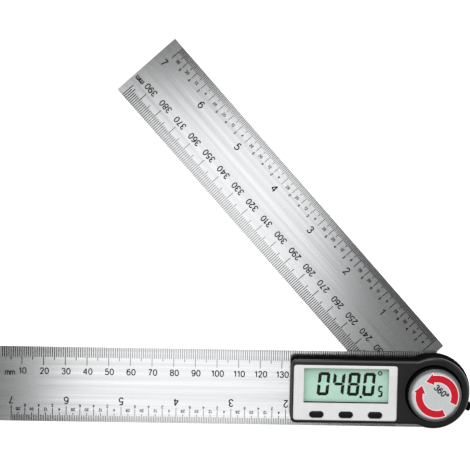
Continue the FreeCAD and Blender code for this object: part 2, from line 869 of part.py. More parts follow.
def knob_grip():
    """Ribbed body, hollow round the washers."""
    low = recess_z + knob_floor_gap
    grip = disc(knob_radius, low, cap_z)
    cuts = [disc(knob_inner_radius, low - overrun, insert_z),
            disc(insert_foot_radius, insert_z - overrun, insert_z + insert_foot_height),
            disc(insert_radius, insert_z - overrun, cap_z + overrun)]
    flute_z = plateau_z + knob_floor_gap
    ride = knob_radius - knob_flute_depth + knob_flute_radius
    for index in range(knob_flutes):
        x, y = polar(ride, 360 * index / knob_flutes)
        cuts.append(disc(knob_flute_radius, flute_z, cap_z + overrun, x, y))
    for cut in cuts:
        grip = grip.cut(cut)
    return grip


def knob_cap():
    """The silver disc on top, with a sloping edge."""
    radius = knob_radius - cap_inset
    slope_z = knob_top - cap_edge_drop
    slope = Part.makeCone(radius, radius - cap_edge_width, cap_edge_drop, at(0, 0, slope_z))
    return disc(radius, cap_z, slope_z).fuse(slope).removeSplitter()


def all_pieces():
    pieces = {
        "base_blade": base_blade(),
        "housing_cover": housing_cover(),
        "housing_tray": housing_tray(),
        "display_plate": display_plate(),
        "display_lens": display_lens(),
        "lcd_glass": lcd_glass(),
        "lcd_holder": lcd_holder(),
        "zebra_strips": zebra_strips(),
        "main_board": main_board(),
        "control_chip": control_chip(),
        "crystal_can": crystal_can(),
        "encoder_stator": encoder_stator(),
        "link_header": link_header(),
        "coin_cell": coin_cell(),
        "positive_contact": positive_contact(),
        "negative_contact": negative_contact(),
        "housing_screws": housing_screws(),
        "board_screws": board_screws(),
        "stator_screws": stator_screws(),
        "pivot_bush": pivot_bush(),
        "wear_washer": wear_washer(),
        "disc_spring": disc_spring(),
        "arm_blade": arm_blade(),
        "friction_washer": friction_washer(),
        "pivot_stud": pivot_stud(),
        "pivot_hub": pivot_hub(),
        "encoder_rotor": encoder_rotor(),
        "rotor_clip": rotor_clip(),
        "knob_washer": knob_washer(),
        "knob_insert": knob_insert(),
        "knob_grip": knob_grip(),
        "knob_cap": knob_cap(),
        "battery_cover": battery_cover(),
    }
    for name, (x, y) in zip(("left", "middle", "right"), button_places()):
        pieces["button_" + name] = button(x, y)
        pieces["plunger_" + name] = plunger(x, y)
        pieces["switch_" + name] = switch_body(x, y)
    return pieces


os.makedirs("parts", exist_ok=True)
for node, shape in all_pieces().items():
    shape.exportStep("parts/" + node + ".step")
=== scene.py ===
import json
import math

import bpy
from bpy.props import FloatProperty, FloatVectorProperty, PointerProperty, StringProperty
from mathutils import Matrix, Vector


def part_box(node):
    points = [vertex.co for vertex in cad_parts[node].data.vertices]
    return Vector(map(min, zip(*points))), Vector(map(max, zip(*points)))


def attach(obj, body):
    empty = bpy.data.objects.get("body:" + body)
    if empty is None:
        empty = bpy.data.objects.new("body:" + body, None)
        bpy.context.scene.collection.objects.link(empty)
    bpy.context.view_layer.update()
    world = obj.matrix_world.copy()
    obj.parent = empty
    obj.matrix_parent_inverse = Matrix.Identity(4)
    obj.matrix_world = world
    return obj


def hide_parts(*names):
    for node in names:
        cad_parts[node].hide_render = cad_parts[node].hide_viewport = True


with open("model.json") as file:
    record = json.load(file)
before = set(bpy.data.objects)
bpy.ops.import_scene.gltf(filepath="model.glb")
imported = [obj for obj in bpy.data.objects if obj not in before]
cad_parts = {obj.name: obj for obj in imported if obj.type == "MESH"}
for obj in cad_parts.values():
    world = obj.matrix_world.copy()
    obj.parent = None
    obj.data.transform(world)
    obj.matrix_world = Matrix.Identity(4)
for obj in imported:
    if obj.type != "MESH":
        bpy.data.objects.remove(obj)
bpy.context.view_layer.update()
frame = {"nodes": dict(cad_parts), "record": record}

bl_info = {
    "name": "Digital Angle Rule",
    "version": (1, 0, 0),
    "blender": (4, 5, 0),
    "location": "3D View > Sidebar > Angle Rule",
    "description": "Scales, display, knob face, finishes and stage for a two-armed digital angle rule",
    "category": "Object",
}

# The level arm lies along X with its far end at -X. The swinging arm is the same, turned
# clockwise about the pivot by the rest angle. Lengths are in metres.
MM = 0.001
INCH = 25.4 * MM
BASE_LOW, BASE_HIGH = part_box("base_blade")
BLADE_EDGE = BASE_HIGH.y
BLADE_END = BASE_LOW.x
ARM_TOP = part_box("arm_blade")[1].z
ARM_EDGE_AXIS = next(m for m in frame["record"]["mounts"] if m["name"] == "arm_edge")["axis"]
REST_ANGLE = math.atan2(ARM_EDGE_AXIS[0], ARM_EDGE_AXIS[1])


# Figures as strokes on a unit of their height: (width, strokes). A stroke is points that a soft
# line runs through. A third value marks a sharp corner, and a closed stroke ends where it began.
FIGURE_SPACE = 0.26
RING = [(0.0, 0.5), (0.05, 0.82), (0.28, 1.0), (0.51, 0.82), (0.56, 0.5), (0.51, 0.18), (0.28, 0.0),
        (0.05, 0.18), (0.0, 0.5)]
NINE = [(0.03, 0.15), (0.22, 0.0), (0.47, 0.17), (0.55, 0.6), (0.47, 0.9), (0.27, 1.0), (0.05, 0.88),
        (0.0, 0.68), (0.07, 0.47), (0.27, 0.38), (0.46, 0.47), (0.54, 0.64)]
FIGURES = {
    "0": (0.56, [RING]),
    "1": (0.34, [[(0.0, 0.74), (0.26, 1.0, 1), (0.26, 0.0)]]),
    "2": (0.56, [[(0.02, 0.72), (0.1, 0.93), (0.29, 1.0), (0.49, 0.9), (0.52, 0.68), (0.34, 0.38),
                  (0.0, 0.0, 1), (0.56, 0.0)]]),
    "3": (0.56, [[(0.03, 0.8), (0.13, 0.96), (0.28, 1.0), (0.48, 0.9), (0.5, 0.7), (0.4, 0.57),
                  (0.22, 0.54, 1), (0.42, 0.5), (0.55, 0.32), (0.5, 0.1), (0.28, 0.0), (0.09, 0.06),
                  (0.0, 0.22)]]),
    "4": (0.64, [[(0.48, 0.0), (0.48, 1.0, 1), (0.0, 0.28, 1), (0.64, 0.28)]]),
    "5": (0.56, [[(0.5, 1.0), (0.1, 1.0, 1), (0.04, 0.5, 1), (0.28, 0.62), (0.49, 0.52), (0.56, 0.32),
                  (0.48, 0.1), (0.26, 0.0), (0.07, 0.06), (0.0, 0.2)]]),
    "6": (0.56, [[(0.55 - x, 1.0 - y) for x, y in NINE]]),
    "7": (0.56, [[(0.0, 1.0), (0.56, 1.0, 1), (0.33, 0.6), (0.18, 0.0)]]),
    "8": (0.56, [[(0.28, 1.0), (0.47, 0.92), (0.52, 0.77), (0.44, 0.61), (0.28, 0.55), (0.12, 0.61),
                  (0.04, 0.77), (0.09, 0.92), (0.28, 1.0)],
                 [(0.28, 0.55), (0.48, 0.47), (0.56, 0.27), (0.48, 0.07), (0.28, 0.0), (0.08, 0.07),
                  (0.0, 0.27), (0.08, 0.47), (0.28, 0.55)]]),
    "9": (0.56, [NINE]),
    "m": (1.0, [[(0.0, 0.0), (0.0, 1.0)], [(0.0, 0.68), (0.25, 1.0), (0.48, 0.72), (0.5, 0.0)],
                [(0.5, 0.68), (0.75, 1.0), (0.98, 0.72), (1.0, 0.0)]]),
    "\u00b0": (0.34, [[(0.17 + 0.17 * x, 0.83 + 0.17 * y)
                       for x, y in ((0, 1), (1, 0), (0, -1), (-1, 0), (0, 1))]]),
}


# ---- Small tools ----

def linear(colour):
    """An sRGB hex colour as the linear colour that a shader takes."""
    channels = [int(colour[start:start + 2], 16) / 255 for start in (1, 3, 5)]
    return tuple(c / 12.92 if c <= 0.04045 else ((c + 0.055) / 1.055) ** 2.4 for c in channels) + (1.0,)


def clear_selection():
    bpy.ops.object.select_all(action='DESELECT')


def select_only(*pieces):
    clear_selection()
    for piece in pieces:
        piece.select_set(True)
    bpy.context.view_layer.objects.active = pieces[0]


def settle(piece, name=None):
    """Puts a piece's place, turn and scale into its mesh."""
    select_only(piece)
    bpy.ops.object.transform_apply(location=True, rotation=True, scale=True)
    if name:
        piece.name = name
        piece.data.name = name
    return piece


def apply_modifier(piece, kind, **settings):
    modifier = piece.modifiers.new(kind, kind)
    for key, value in settings.items():
        setattr(modifier, key, value)
    select_only(piece)
    bpy.ops.object.modifier_apply(modifier=modifier.name)
    return piece


def join(name, pieces):
    select_only(*pieces)
    if len(pieces) > 1:
        bpy.ops.object.join()
    return settle(bpy.context.object, name)


def thicken(piece, thickness):
    """Gives a flat piece its thickness, upwards."""
    return apply_modifier(piece, 'SOLIDIFY', thickness=thickness, offset=1.0)


def flatten(piece, level, height):
    """Presses round strokes that lie round a level to this height above it."""
    half = max(vertex.co.z for vertex in piece.data.vertices) - level
    piece.data.transform(Matrix.Translation((0, 0, level)) @ Matrix.Diagonal((1, 1, height / half, 1))
                         @ Matrix.Translation((0, 0, -level)))
    return piece


def bar(x, y, z, length, width, height):
    """A thin block on the level z, centred at (x, y)."""
    bpy.ops.mesh.primitive_cube_add(size=1, location=(x, y, z + height / 2), scale=(length, width, height))
    return settle(bpy.context.object)


def edit(piece, *steps):
    """Runs edit-mode steps on a piece with everything selected."""
    select_only(piece)
    bpy.ops.object.mode_set(mode='EDIT')
    bpy.ops.mesh.select_all(action='SELECT')
    for step in steps:
        step()
    bpy.ops.object.mode_set(mode='OBJECT')
    return piece


def select_faces(piece, test):
    """In object mode: leaves selected only the faces that pass a test."""
    for vertex in piece.data.vertices:
        vertex.select = False
    for side in piece.data.edges:
        side.select = False
    for face in piece.data.polygons:
        face.select = test(face)


def stroke_runs(points):
    """A stroke's points, divided at its sharp corners."""
    runs = [[]]
    for x, y, *corner in points:
        runs[-1].append((x, y))
        if corner:
            runs.append([(x, y)])
    return [run for run in runs if len(run) > 1]


def line_of_words(words, height, stroke, fine=2):
    """Figures of one height drawn in round-ended strokes, centred on the origin."""
    drawing = bpy.data.curves.new("figures", 'CURVE')
    drawing.dimensions = '3D'
    drawing.resolution_u = fine
    drawing.bevel_depth = stroke / 2
    drawing.bevel_resolution = 0
    drawing.twist_mode = 'Z_UP'
    drawing.use_fill_caps = True
    right = 0.0
    for character in words:
        width, strokes = FIGURES[character]
        for points in (run for whole in strokes for run in stroke_runs(whole)):
            spline = drawing.splines.new('BEZIER')
            spline.use_cyclic_u = points[0] == points[-1]
            points = points[:-1] if spline.use_cyclic_u else points
            spline.bezier_points.add(len(points) - 1)
            for knot, (x, y) in zip(spline.bezier_points, points):
                knot.co = ((right + x) * height, y * height, 0)
                knot.handle_left_type = knot.handle_right_type = 'AUTO'
        right += width + FIGURE_SPACE
    line = bpy.data.objects.new("figures", drawing)
    bpy.context.scene.collection.objects.link(line)
    select_only(line)
    bpy.ops.object.convert(target='MESH')
    line = bpy.context.object
    line.data.transform(Matrix.Translation((-(right - FIGURE_SPACE) * height / 2, -height / 2, 0)))
    return line


def place(piece, x, y, z, turn=0.0):
    piece.matrix_world = Matrix.Translation((x, y, z)) @ Matrix.Rotation(turn, 4, 'Z')
    return settle(piece)


def set_material(piece, *materials):
    piece.data.materials.clear()
    for material in materials:
        piece.data.materials.append(material)


def set_material_keep(piece, *materials):
    """Gives a piece its materials without losing which face has which."""
    kept = [face.material_index for face in piece.data.polygons]
    set_material(piece, *materials)
    for face, index in zip(piece.data.polygons, kept):
        face.material_index = index


def finished(piece, body):
    """A piece that is done rides on its body."""
    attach(piece, body)


# ---- Materials ----

def add_node(material, kind, inputs=None, **settings):
    """Adds a node, sets it up and feeds its inputs with values or with other nodes' outputs."""
    node = material.node_tree.nodes.new(kind)
    for key, value in settings.items():
        setattr(node, key, value)
    for key, value in (inputs or {}).items():
        if isinstance(value, bpy.types.NodeSocket):
            material.node_tree.links.new(value, node.inputs[key])
        else:
            node.inputs[key].default_value = value
    return node


def new_material(name, **constants):
    """A material whose shader has these constant inputs."""
    material = bpy.data.materials.new(name)
    material.use_nodes = True
    for key, value in constants.items():
        material.node_tree.nodes["Principled BSDF"].inputs[key.replace("_", " ")].default_value = value
    return material


def feed(material, key, socket):
    material.node_tree.links.new(socket, material.node_tree.nodes["Principled BSDF"].inputs[key])


def object_grain(material, grain, turn=0.0, detail=3.0):
    """Noise on Object coordinates with grains of the given size in metres along x, y and z."""
    place_of = add_node(material, "ShaderNodeTexCoord").outputs["Object"]
    mapped = add_node(material, "ShaderNodeMapping",
                      {"Vector": place_of, "Rotation": (0, 0, turn), "Scale": grain}, vector_type='TEXTURE')
    return add_node(material, "ShaderNodeTexNoise",
                    {"Vector": mapped.outputs[0], "Scale": 1.0, "Detail": detail}).outputs["Fac"]


def spread(material, value, low, high):
    """Noise, which stays near the middle of its range, stretched to run from low to high."""
    return add_node(material, "ShaderNodeMapRange", {"Value": value, "From Min": 0.3, "From Max": 0.7,
                                                     "To Min": low, "To Max": high}).outputs[0]


def tinted(material, value, dark, light):
    """A colour between two, by a value from 0 to 1."""
    return add_node(material, "ShaderNodeMix", {0: value, 6: dark, 7: light}, data_type='RGBA').outputs[2]


def shade(colour, factor):
    return tuple(c * factor for c in colour[:3]) + (1.0,)


def mottled(material, noise, colour, dark, light):
    """A colour that drifts between a darker and a lighter share of itself."""
    return tinted(material, spread(material, noise, 0, 1), shade(colour, dark), shade(colour, light))


def rough_surface(material, grain, depth):
    """A bump from grains of one size and a depth in metres."""
    height = object_grain(material, (grain, grain, grain), detail=1.0)
    bump = add_node(material, "ShaderNodeBump", {"Height": height, "Strength": 0.5, "Distance": depth})
    feed(material, "Normal", bump.outputs[0])


def brushed_stainless_steel(name, colour, turn):
    """Cold-rolled stainless strip, brushed lengthwise: soft grey streaks that run with the blade."""
    material = new_material(name, Metallic=1.0)
    # The streaks are drawn coarser than the real brushing, so that they show.
    streaks = object_grain(material, (60 * MM, 0.5 * MM, 1.0), turn, 2.0)
    bands = object_grain(material, (150 * MM, 2.2 * MM, 1.0), turn, 1.0)
    both = add_node(material, "ShaderNodeMath", {0: streaks, 1: bands}, operation='ADD')
    half = add_node(material, "ShaderNodeMath", {0: both.outputs[0], 1: 0.5}, operation='MULTIPLY').outputs[0]
    feed(material, "Base Color", mottled(material, half, colour, 0.86, 1.06))
    feed(material, "Roughness", spread(material, bands, 0.175, 0.135))
    return material


def etched_figures(name, colour):
    """Figures etched deep in steel and blackened: dull, near black, with slightly worn patches."""
    material = new_material(name, Metallic=0.2, Roughness=0.5)
    wear = object_grain(material, (0.6 * MM, 0.6 * MM, 0.6 * MM))
    feed(material, "Base Color", mottled(material, wear, colour, 0.6, 1.3))
    return material


def etched_lines(name, colour, turn, highlight_at):
    """Fine etched lines, black, with a painted highlight: bright grey round the place on the blade where the
    steel's highlight falls, black towards its ends.
    """
    material = new_material(name, Metallic=1.0, Roughness=0.32)
    place_of = add_node(material, "ShaderNodeTexCoord").outputs["Object"]
    along = add_node(material, "ShaderNodeVectorMath", {0: place_of, 1: (math.cos(turn), math.sin(turn), 0)},
                     operation='DOT_PRODUCT').outputs["Value"]
    from_highlight = add_node(material, "ShaderNodeMath", {0: along, 1: highlight_at}, operation='ADD').outputs[0]
    from_highlight = add_node(material, "ShaderNodeMath", {0: from_highlight}, operation='ABSOLUTE').outputs[0]
    # Painted highlight: the lines are bright grey near the place where the steel's highlight falls, and turn
    # black further off.
    away_from_highlight = add_node(material, "ShaderNodeMapRange",
                      {"Value": from_highlight, "From Min": 25 * MM, "From Max": 60 * MM}).outputs[0]
    feed(material, "Base Color", tinted(material, away_from_highlight, colour, shade(colour, 0.015)))
    return material


SKIN_FADE = 0.4 * MM   # height over which a moulded skin sets in


def moulded_plastic(name, colour, roughness, grain=0.3 * MM, depth=0.01 * MM, gloss=0.5, skin=0.0,
                    skin_level=0.0):
    """Injection-moulded plastic with a fine spark-eroded texture: even, with a soft, slightly broken sheen.

    With a skin, what lies above a level catches the light, and the walls below stay dead matt.
    """
    coat = {"Coat_Roughness": roughness} if skin else {}
    material = new_material(name, IOR=1.46, Specular_IOR_Level=gloss, **coat)
    if skin:
        place_of = add_node(material, "ShaderNodeTexCoord").outputs["Object"]
        level = add_node(material, "ShaderNodeSeparateXYZ", {0: place_of}).outputs["Z"]
        sheen = add_node(material, "ShaderNodeMapRange",
                         {"Value": level, "From Min": skin_level - SKIN_FADE, "From Max": skin_level,
                          "To Min": 0.0, "To Max": skin})
        feed(material, "Coat Weight", sheen.outputs[0])
    patches = object_grain(material, (4 * MM, 4 * MM, 4 * MM))
    feed(material, "Base Color", mottled(material, patches, colour, 0.97, 1.02))
    texture = object_grain(material, (grain, grain, grain))
    feed(material, "Roughness", spread(material, texture, roughness * 0.9, roughness * 1.12))
    rough_surface(material, grain, depth)
    return material


def printed_ink(name, colour, roughness):
    """Screen-printed ink: flat colour with small uneven patches."""
    material = new_material(name, Roughness=roughness, Specular_IOR_Level=0.3)
    patches = object_grain(material, (0.8 * MM, 0.8 * MM, 0.8 * MM))
    feed(material, "Base Color", mottled(material, patches, colour, 0.9, 1.08))
    return material


def display_crystal(name, colour):
    """Reflective display glass behind a polariser: a pale green, faintly cloudy panel."""
    material = new_material(name, Roughness=0.3, IOR=1.52)
    clouds = object_grain(material, (9 * MM, 5 * MM, 5 * MM))
    feed(material, "Base Color", mottled(material, clouds, colour, 0.95, 1.05))
    return material


def clear_acrylic(name):
    """Cast acrylic window: almost nothing but a faint sheen with hair-fine scratches."""
    material = new_material(name, Base_Color=linear("#26302b"), IOR=1.49, Alpha=0.03)
    scratch = object_grain(material, (6 * MM, 0.2 * MM, 1.0), 0.4)
    feed(material, "Roughness", spread(material, scratch, 0.04, 0.12))
    return material


def satin_silver(name, colour, roughness, painted_shade_start, painted_shade_full):
    """Silver film on the knob: a bright satin face, with painted shade that turns it deep grey where its rim
    rolls over.
    """
    material = new_material(name, Metallic=0.4)
    drift = spread(material, object_grain(material, (1.6 * MM, 0.5 * MM, 1.0), 0.8), 0, 1)
    film = tinted(material, drift, shade(colour, 0.93), shade(colour, 1.03))
    place_of = add_node(material, "ShaderNodeTexCoord").outputs["Object"]
    flat = add_node(material, "ShaderNodeVectorMath", {0: place_of, 1: (1, 1, 0)},
                    operation='MULTIPLY').outputs[0]
    radius = add_node(material, "ShaderNodeVectorMath", {0: flat}, operation='LENGTH').outputs["Value"]
    # Painted shade: the film's colour darkens to deep grey towards the rim.
    rim = add_node(material, "ShaderNodeMapRange",
                   {"Value": radius, "From Min": painted_shade_start, "From Max": painted_shade_full},
                   interpolation_type='SMOOTHSTEP').outputs[0]
    feed(material, "Base Color", tinted(material, rim, film, shade(colour, 0.12)))
    feed(material, "Roughness", spread(material, drift, roughness * 0.85, roughness * 1.15))
    return material


def machined_metal(name, colour, roughness, grain=(0.15 * MM, 0.15 * MM, 2 * MM)):
    """Turned, stamped or plated metal: bright, with fine tool marks."""
    material = new_material(name, Metallic=1.0)
    marks = object_grain(material, grain)
    feed(material, "Base Color", mottled(material, marks, colour, 0.88, 1.05))
    feed(material, "Roughness", spread(material, marks, roughness * 0.8, roughness * 1.25))
    return material


def solder_mask(name, colour):
    """Green lacquer over copper tracks: glossy, with tracks that show as lighter lines."""
    material = new_material(name, Roughness=0.28, IOR=1.5)
    place_of = add_node(material, "ShaderNodeTexCoord").outputs["Object"]
    tracks = add_node(material, "ShaderNodeTexWave",
                      {"Vector": place_of, "Scale": 0.35 / MM, "Distortion": 3.0}, wave_profile='SIN')
    line = add_node(material, "ShaderNodeMapRange",
                    {"Value": tracks.outputs["Fac"], "From Min": 0.55, "From Max": 0.62})
    feed(material, "Base Color", tinted(material, line.outputs[0], colour, shade(colour, 1.7)))
    return material


def striped_silicone(name, colour):
    """Layered conductive rubber: dull, with fine dark and pale layers."""
    material = new_material(name, Roughness=0.7)
    place_of = add_node(material, "ShaderNodeTexCoord").outputs["Object"]
    layers = add_node(material, "ShaderNodeTexWave", {"Vector": place_of, "Scale": 1.2 / MM},
                      bands_direction='X')
    feed(material, "Base Color", tinted(material, layers.outputs["Fac"], colour, shade(colour, 6.0)))
    return material


# ---- Settings ----

def length(name, description, value):
    """A setting that is a length in metres."""
    return FloatProperty(name=name, description=description, default=value, unit='LENGTH')


def angle(name, description, degrees):
    """A setting that is an angle, with its default in degrees."""
    return FloatProperty(name=name, description=description, default=math.radians(degrees), unit='ROTATION')


def hue(name, description, colour):
    """A setting that is a colour, with its default as sRGB hex."""
    return FloatVectorProperty(name=name, description=description, subtype='COLOR', size=4,
                               default=linear(colour))


class MarkSettings(bpy.types.PropertyGroup):
    """Sizes of the scales on both blades."""
    line_width: length("Line width", "Width of one scale line", 0.36 * MM)
    line_height: length("Line height", "How far a line stands above the steel", 0.015 * MM)
    mm_short: length("1 mm line", "Length of a one-millimetre line", 4.9 * MM)
    mm_middle: length("5 mm line", "Length of a five-millimetre line", 6.3 * MM)
    mm_long: length("10 mm line", "Length of a ten-millimetre line", 8.6 * MM)
    inch_fine: length("1/32 inch line", "Length of the finest inch line", 3.05 * MM)
    inch_eighth: length("1/8 inch line", "Length of an eighth-inch line", 4.2 * MM)
    inch_quarter: length("1/4 inch line", "Length of a quarter-inch line", 6.2 * MM)
    inch_long: length("Inch line", "Length of a full-inch line", 7.2 * MM)
    mm_figure: length("Millimetre figures", "Height of the millimetre figures", 3.2 * MM)
    inch_figure: length("Inch figures", "Height of the inch figures", 3.75 * MM)
    small_figure: length("Small figures", "Height of the fraction figures", 1.6 * MM)
    figure_stroke: length("Figure stroke", "Width of the strokes of the level blade's figures", 0.5 * MM)
    bold_stroke: length("Bold stroke", "Width of the strokes of the swinging blade's figures", 0.53 * MM)
    inch_stroke: length("Inch stroke", "Width of the strokes of the inch figures", 0.56 * MM)
    small_stroke: length("Small stroke", "Width of the strokes of the fraction figures", 0.36 * MM)
    # The lines carry a painted highlight: bright grey round a place on each blade where the steel's highlight
    # falls, black away from it. The two places and the bright colour follow. Worn in their descriptions means
    # that painted highlight.
    worn_level: length("Worn place, level blade",
                       "Distance from the pivot where the lines are most worn", 113 * MM)
    worn_swinging: length("Worn place, swinging blade",
                          "Distance from the pivot where the lines are most worn", 134 * MM)
    line_colour: hue("Line colour", "Colour of worn lines", "#a8a8a8")
    figure_colour: hue("Figure colour", "Colour of the figures", "#121212")


class DisplaySettings(bpy.types.PropertyGroup):
    """The reading on the display."""
    reading: StringProperty(name="Reading", description="The four large figures", default="0480")
    last_figure: StringProperty(name="Last figure", description="The small figure after them", default="5")
    left: length("Left edge", "Where the first figure's foot starts", -53.84 * MM)
    foot: length("Foot", "Level line that the figures stand on", -1.99 * MM)
    pitch: length("Pitch", "From one figure to the next", 6.97 * MM)
    width: length("Figure width", "Width of a large figure before it slants", 5.4 * MM)
    height: length("Figure height", "Height of a large figure", 10.84 * MM)
    stroke: length("Stroke", "Width of a segment", 1.45 * MM)
    slant: angle("Slant", "How far the figures lean", 5)
    glass_colour: hue("Glass colour", "Colour of the display", "#c2ecd7")
    figure_colour: hue("Figure colour", "Colour of the segments", "#050a07")


class KnobSettings(bpy.types.PropertyGroup):
    """The knob's silver face and its print."""
    band_inner: length("Band inside", "Inner radius of the arrows, with their border", 6.22 * MM)
    band_outer: length("Band outside", "Outer radius of the arrows, with their border", 10.13 * MM)
    head_overhang: length("Head overhang",
                          "How far an arrowhead is wider than its band, each side", 1.42 * MM)
    head_sweep: angle("Head sweep", "Angle from an arrowhead's base to its tip", 31.2)
    band_sweep: angle("Band sweep", "Angle of an arrow's curved band", 125.5)
    border: length("Border", "Width of the pale line round an arrow", 0.38 * MM)
    print_shift: FloatVectorProperty(name="Print shift", subtype='TRANSLATION', size=2,
                                     description="How far the print sits off the knob's centre",
                                     default=(0.8 * MM, -0.35 * MM))
    words: StringProperty(name="Figures", description="The figures in the middle", default="360°")
    words_height: length("Figure height", "Height of the figures in the middle", 2.5 * MM)
    red: hue("Arrow colour", "Colour of both arrows", "#cd1128")
    pale: hue("Border colour", "Colour of the line round them", "#fdeaed")


class FinishSettings(bpy.types.PropertyGroup):
    """Colours of the plain finishes."""
    steel: hue("Blade steel", "Colour of both blades", "#cccdce")
    housing: hue("Housing", "Colour of the black mouldings", "#101011")
    plate: hue("Display plate", "Colour of the plate", "#e9e9e9")
    buttons: hue("Buttons", "Colour of the keys", "#0c0c0d")
    silver: hue("Knob face", "Colour of the silver disc", "#dcdfe0")


class StageSettings(bpy.types.PropertyGroup):
    """Camera, floor and lights."""
    lens: FloatProperty(name="Lens",
                        description="Focal length for a 36 mm wide frame, in millimetres", default=155.3)
    floor: hue("Floor", "Colour of the floor", "#f6f6f6")
    ambient: FloatProperty(name="Ambient light", description="Brightness of the surroundings", default=0.18)
    overhead: FloatProperty(name="Overhead light",
                            description="Power of the soft box above, in watts", default=0.49)
    side: FloatProperty(name="Side lights", description="Power of each side light, in watts", default=10.0)
    back: FloatProperty(name="Back panel",
                        description="Power of the tall panel behind the object, in watts", default=10.0)


# ---- Scales ----

EDGE_GAP = 0.03 * MM   # from a blade's edge to its lines
INCHES = 7             # on each blade

# Marks by body, before its blade is turned: x from the pivot, y from the blade's middle line.
# The side is the sign of the edge with the millimetres. Its figures are upright if it is 1.
MARKS = {
    "base": {
        "side": 1, "mm_x": lambda value: BLADE_END + (value + 0.33) * MM,
        "first": 1, "lines": 193,
        "figures": range(10, 140, 10),    # the housing covers the rest
        "figure_shift": 0.35, "figure_y": 6.1 * MM,
        "unit_at": 4.5, "unit_y": 5.0 * MM, "unit_height": 2.4 * MM,
        "inch_zero": -16.7 * MM, "inch_figures": range(2, 8), "inch_shift": 0, "inch_y": -7.64 * MM,
        "near_y": -11.9 * MM, "far_y": -10.1 * MM,
        "fractions_end": -66 * MM,        # the housing covers those nearer the pivot
    },
    "arm": {
        "side": -1, "mm_x": lambda value: (200.4 - value) * MM,
        "first": 397, "lines": 180, "first_length": 6.8 * MM,
        "figures": range(220, 400, 10), "figure_shift": 0, "figure_y": -6.2 * MM,
        "unit_at": 396.9, "unit_y": -6.8 * MM, "unit_height": 2.3 * MM,
        "inch_zero": -16.4 * MM, "zero_length": 8.6 * MM,
        "inch_figures": range(1, 8), "inch_shift": -0.7 * MM, "inch_y": 6.6 * MM,
        "near_y": 11.5 * MM, "far_y": 9.9 * MM, "fractions_end": 0,
    },
}


def edge_lines(x, level, side, near, far, step, count):
    """A row of equal lines from one distance inside an edge to another; side is the edge's sign."""
    settings = bpy.context.scene.rule_marks
    y = side * (BLADE_EDGE - (near + far) / 2)
    line = bar(x, y, level, settings.line_width, far - near, settings.line_height)
    return apply_modifier(line, 'ARRAY', count=count, use_relative_offset=False,
                          use_constant_offset=True, constant_offset_displace=(step, 0, 0))


def millimetre_lines(first, count, level, side, first_value):
    """Lines a millimetre apart from x = first, each fifth and tenth of them longer."""
    settings = bpy.context.scene.rule_marks
    rows = [edge_lines(first, level, side, EDGE_GAP, settings.mm_short, MM, count)]
    for every, near, far in ((5, settings.mm_short, settings.mm_middle),
                             (10, settings.mm_middle, settings.mm_long)):
        skip = -first_value % every
        rows.append(edge_lines(first + skip * MM, level, side, near, far, every * MM,
                               (count - 1 - skip) // every + 1))
    return rows


def inch_lines(zero, whole, level, side):
    """Lines a thirty-second of an inch apart, from x = zero towards the far end."""
    settings = bpy.context.scene.rule_marks
    return [edge_lines(zero, level, side, near, far, -INCH / parts, whole * parts + 1)
            for parts, near, far in ((32, EDGE_GAP, settings.inch_fine),
                                     (8, settings.inch_fine, settings.inch_eighth),
                                     (4, settings.inch_eighth, settings.inch_quarter),
                                     (1, settings.inch_quarter, settings.inch_long))]


def figure_row(entries, height, stroke, level, fine=2):
    """Figures at (words, x, y, turn) on one level, as one list of pieces."""
    return [place(line_of_words(words, height - stroke, stroke, fine), x, y, level, turn)
            for words, x, y, turn in entries]


def fraction_entries(zero, whole, y_near, y_far, turn):
    """Small figures between the inches: eighths as 32nds near the edge, quarters as 8ths further in."""
    near, far = [], []
    for inch in range(whole):
        for eighth in range(1, 8):
            x = zero - (inch + eighth / 8) * INCH
            if eighth % 2:
                near.append((str(eighth * 4), x, y_near, turn))
            else:
                far.append((str(eighth), x, y_far, turn))
    return near + far


def draw_scales(body, level, turn, stroke, highlight_at):
    """A blade's lines with its small figures, and its large figures. Both ride on its body."""
    settings, marks = bpy.context.scene.rule_marks, MARKS[body]
    side, mm_x, inch_zero = marks["side"], marks["mm_x"], marks["inch_zero"]
    mm_turn, inch_turn = (0, math.pi) if side > 0 else (math.pi, 0)
    first = mm_x(marks["first"])
    lines = millimetre_lines(first, marks["lines"], level, side, side * marks["first"])
    lines += inch_lines(inch_zero, INCHES, level, -side)
    if "first_length" in marks:
        lines.append(edge_lines(first, level, side, settings.mm_short, marks["first_length"], MM, 1))
        lines.append(edge_lines(inch_zero, level, -side, settings.inch_long, marks["zero_length"], INCH, 1))

    figures = figure_row([(str(v), mm_x(v + marks["figure_shift"]), marks["figure_y"], mm_turn)
                          for v in marks["figures"]], settings.mm_figure, stroke, level)
    figures += figure_row([("mm", mm_x(marks["unit_at"]), marks["unit_y"], mm_turn)],
                          marks["unit_height"], stroke, level)
    inch_x = inch_zero + marks["inch_shift"]
    figures += figure_row([(str(v), inch_x - v * INCH, marks["inch_y"], inch_turn)
                           for v in marks["inch_figures"]], settings.inch_figure, settings.inch_stroke, level)
    small = fraction_entries(inch_zero, INCHES, marks["near_y"], marks["far_y"], inch_turn)
    fractions = figure_row([entry for entry in small if entry[1] < marks["fractions_end"]],
                           settings.small_figure, settings.small_stroke, level, 1)

    fractions = flatten(join("fractions", fractions), level, settings.line_height)
    lines = join(body + "_scale_lines", lines + [fractions])
    figures = flatten(join(body + "_scale_figures", figures), level, settings.line_height)
    # The lines' material paints a highlight on them round the bright place on the steel.
    set_material(lines, etched_lines(body + "_scale_line_etching", settings.line_colour, turn, highlight_at))
    set_material(figures, etched_figures(body + "_scale_figure_etching", settings.figure_colour))
    for piece in (lines, figures):
        finished(place(piece, 0, 0, 0, turn), body)


